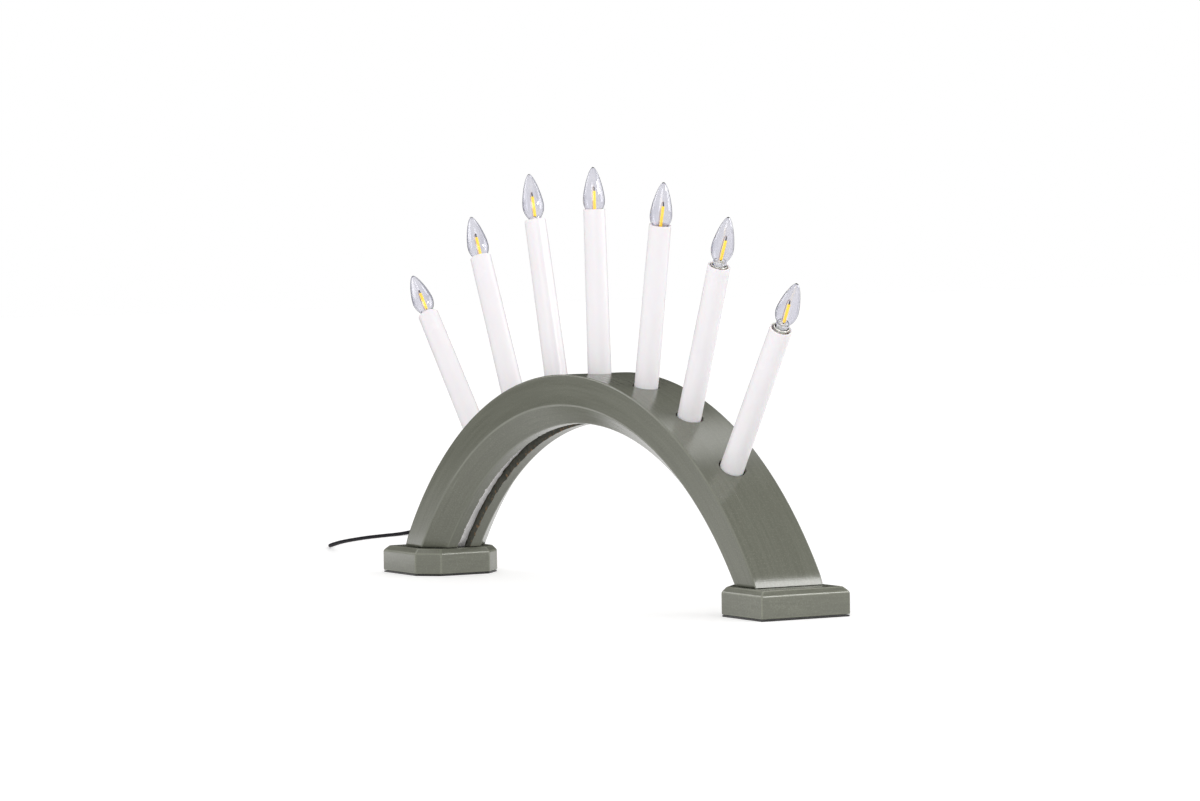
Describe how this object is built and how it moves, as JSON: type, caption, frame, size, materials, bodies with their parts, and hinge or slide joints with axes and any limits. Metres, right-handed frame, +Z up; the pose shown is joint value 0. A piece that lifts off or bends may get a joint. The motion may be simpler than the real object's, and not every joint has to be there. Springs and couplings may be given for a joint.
{
  "type": "candle arch table lamp",
  "caption": "Painted wooden arch on block feet carrying white candle tubes with screw-in clear flame bulbs, lit through a thin mains lead with a two-pin plug.",
  "frame": {"origin": "on the table, midway between the two feet, left to right and front to back", "axes": "+X along the arch towards the leg without the lead, +Y towards the back, +Z up"},
  "size_m": [0.7608, 0.2156, 0.2633],
  "materials": {
    "paint": "satin grey-green paint over solid softwood, fine brush streaks",
    "felt": "black felt",
    "steel": "bright zinc-plated steel",
    "candle": "white, slightly waxy",
    "cover": "white strip, matt",
    "nickel": "nickel-plated brass",
    "solder": "dull grey metal",
    "bulb_glass": "clear glass",
    "filament": "amber light strip",
    "lead": "soft dark sheath, slight sheen",
    "plug": "dark moulded plastic"
  },
  "bodies": {
    "stand": {"arch": "paint", "foot_left": "paint", "foot_right": "paint", "foot_pad_left": "felt", "foot_pad_right": "felt", "foot_screw_left_front": "steel", "foot_screw_left_back": "steel", "foot_screw_right_front": "steel", "foot_screw_right_back": "steel", "plug_pin_left": "steel", "plug_pin_right": "steel", "candle_tube_1": "candle", "candle_tube_2": "candle", "candle_tube_3": "candle", "candle_tube_4": "candle", "candle_tube_5": "candle", "candle_tube_6": "candle", "candle_tube_7": "candle", "wiring_cover": "cover", "lamp_holder_1": "nickel", "lamp_holder_2": "nickel", "lamp_holder_3": "nickel", "lamp_holder_4": "nickel", "lamp_holder_5": "nickel", "lamp_holder_6": "nickel", "lamp_holder_7": "nickel", "wiring_harness": "lead", "cord_lead": "lead", "cord_coil": "lead", "cord_tie": "lead", "strain_relief": "plug", "plug_body": "plug"},
    "bulb_1_base": {"bulb_contact_1": "solder"},
    "bulb_1": {"bulb_cap_1": "nickel", "bulb_glass_1": "bulb_glass", "filament_1": "filament"},
    "bulb_2_base": {"bulb_contact_2": "solder"},
    "bulb_2": {"bulb_cap_2": "nickel", "bulb_glass_2": "bulb_glass", "filament_2": "filament"},
    "bulb_3_base": {"bulb_contact_3": "solder"},
    "bulb_3": {"bulb_cap_3": "nickel", "bulb_glass_3": "bulb_glass", "filament_3": "filament"},
    "bulb_4_base": {"bulb_contact_4": "solder"},
    "bulb_4": {"bulb_cap_4": "nickel", "bulb_glass_4": "bulb_glass", "filament_4": "filament"},
    "bulb_5_base": {"bulb_contact_5": "solder"},
    "bulb_5": {"bulb_cap_5": "nickel", "bulb_glass_5": "bulb_glass", "filament_5": "filament"},
    "bulb_6_base": {"bulb_contact_6": "solder"},
    "bulb_6": {"bulb_cap_6": "nickel", "bulb_glass_6": "bulb_glass", "filament_6": "filament"},
    "bulb_7_base": {"bulb_contact_7": "solder"},
    "bulb_7": {"bulb_cap_7": "nickel", "bulb_glass_7": "bulb_glass", "filament_7": "filament"}
  },
  "joints": [
    {"name": "bulb_1_rise", "type": "slide", "parent": "stand", "child": "bulb_1_base", "axis": [-0.5911, -0.0466, 0.8053], "range_m": [0, 0.00544]},
    {"name": "bulb_1_turn", "type": "hinge", "parent": "bulb_1_base", "child": "bulb_1", "pos_m": [-0.15407, 0, 0.08526], "axis": [-0.5911, -0.0466, 0.8053], "range_deg": [0, 1080]},
    {"name": "bulb_2_rise", "type": "slide", "parent": "stand", "child": "bulb_2_base", "axis": [-0.4022, -0.014, 0.9154], "range_m": [0, 0.00544]},
    {"name": "bulb_2_turn", "type": "hinge", "parent": "bulb_2_base", "child": "bulb_2", "pos_m": [-0.10771, 0, 0.11245], "axis": [-0.4022, -0.014, 0.9154], "range_deg": [0, 1080]},
    {"name": "bulb_3_rise", "type": "slide", "parent": "stand", "child": "bulb_3_base", "axis": [-0.2053, -0.0208, 0.9785], "range_m": [0, 0.00544]},
    {"name": "bulb_3_turn", "type": "hinge", "parent": "bulb_3_base", "child": "bulb_3", "pos_m": [-0.05453, 0, 0.13002], "axis": [-0.2053, -0.0208, 0.9785], "range_deg": [0, 1080]},
    {"name": "bulb_4_rise", "type": "slide", "parent": "stand", "child": "bulb_4_base", "axis": [-0.0016, -0.0216, 0.9998], "range_m": [0, 0.00544]},
    {"name": "bulb_4_turn", "type": "hinge", "parent": "bulb_4_base", "child": "bulb_4", "pos_m": [-0.00064, 0, 0.1358], "axis": [-0.0016, -0.0216, 0.9998], "range_deg": [0, 1080]},
    {"name": "bulb_5_rise", "type": "slide", "parent": "stand", "child": "bulb_5_base", "axis": [0.2195, -0.0183, 0.9754], "range_m": [0, 0.00544]},
    {"name": "bulb_5_turn", "type": "hinge", "parent": "bulb_5_base", "child": "bulb_5", "pos_m": [0.0559, 0, 0.12972], "axis": [0.2195, -0.0183, 0.9754], "range_deg": [0, 1080]},
    {"name": "bulb_6_rise", "type": "slide", "parent": "stand", "child": "bulb_6_base", "axis": [0.4124, -0.03, 0.9105], "range_m": [0, 0.00544]},
    {"name": "bulb_6_turn", "type": "hinge", "parent": "bulb_6_base", "child": "bulb_6", "pos_m": [0.10642, 0, 0.11303], "axis": [0.4124, -0.03, 0.9105], "range_deg": [0, 1080]},
    {"name": "bulb_7_rise", "type": "slide", "parent": "stand", "child": "bulb_7_base", "axis": [0.5838, -0.0232, 0.8116], "range_m": [0, 0.00544]},
    {"name": "bulb_7_turn", "type": "hinge", "parent": "bulb_7_base", "child": "bulb_7", "pos_m": [0.15495, 0, 0.08462], "axis": [0.5838, -0.0232, 0.8116], "range_deg": [0, 1080]}
  ],
  "couplings": [
    {"joint": "bulb_1_rise", "follows": "bulb_1_turn", "m_per_rad": 0.00028871},
    {"joint": "bulb_2_rise", "follows": "bulb_2_turn", "m_per_rad": 0.00028871},
    {"joint": "bulb_3_rise", "follows": "bulb_3_turn", "m_per_rad": 0.00028871},
    {"joint": "bulb_4_rise", "follows": "bulb_4_turn", "m_per_rad": 0.00028871},
    {"joint": "bulb_5_rise", "follows": "bulb_5_turn", "m_per_rad": 0.00028871},
    {"joint": "bulb_6_rise", "follows": "bulb_6_turn", "m_per_rad": 0.00028871},
    {"joint": "bulb_7_rise", "follows": "bulb_7_turn", "m_per_rad": 0.00028871}
  ]
}
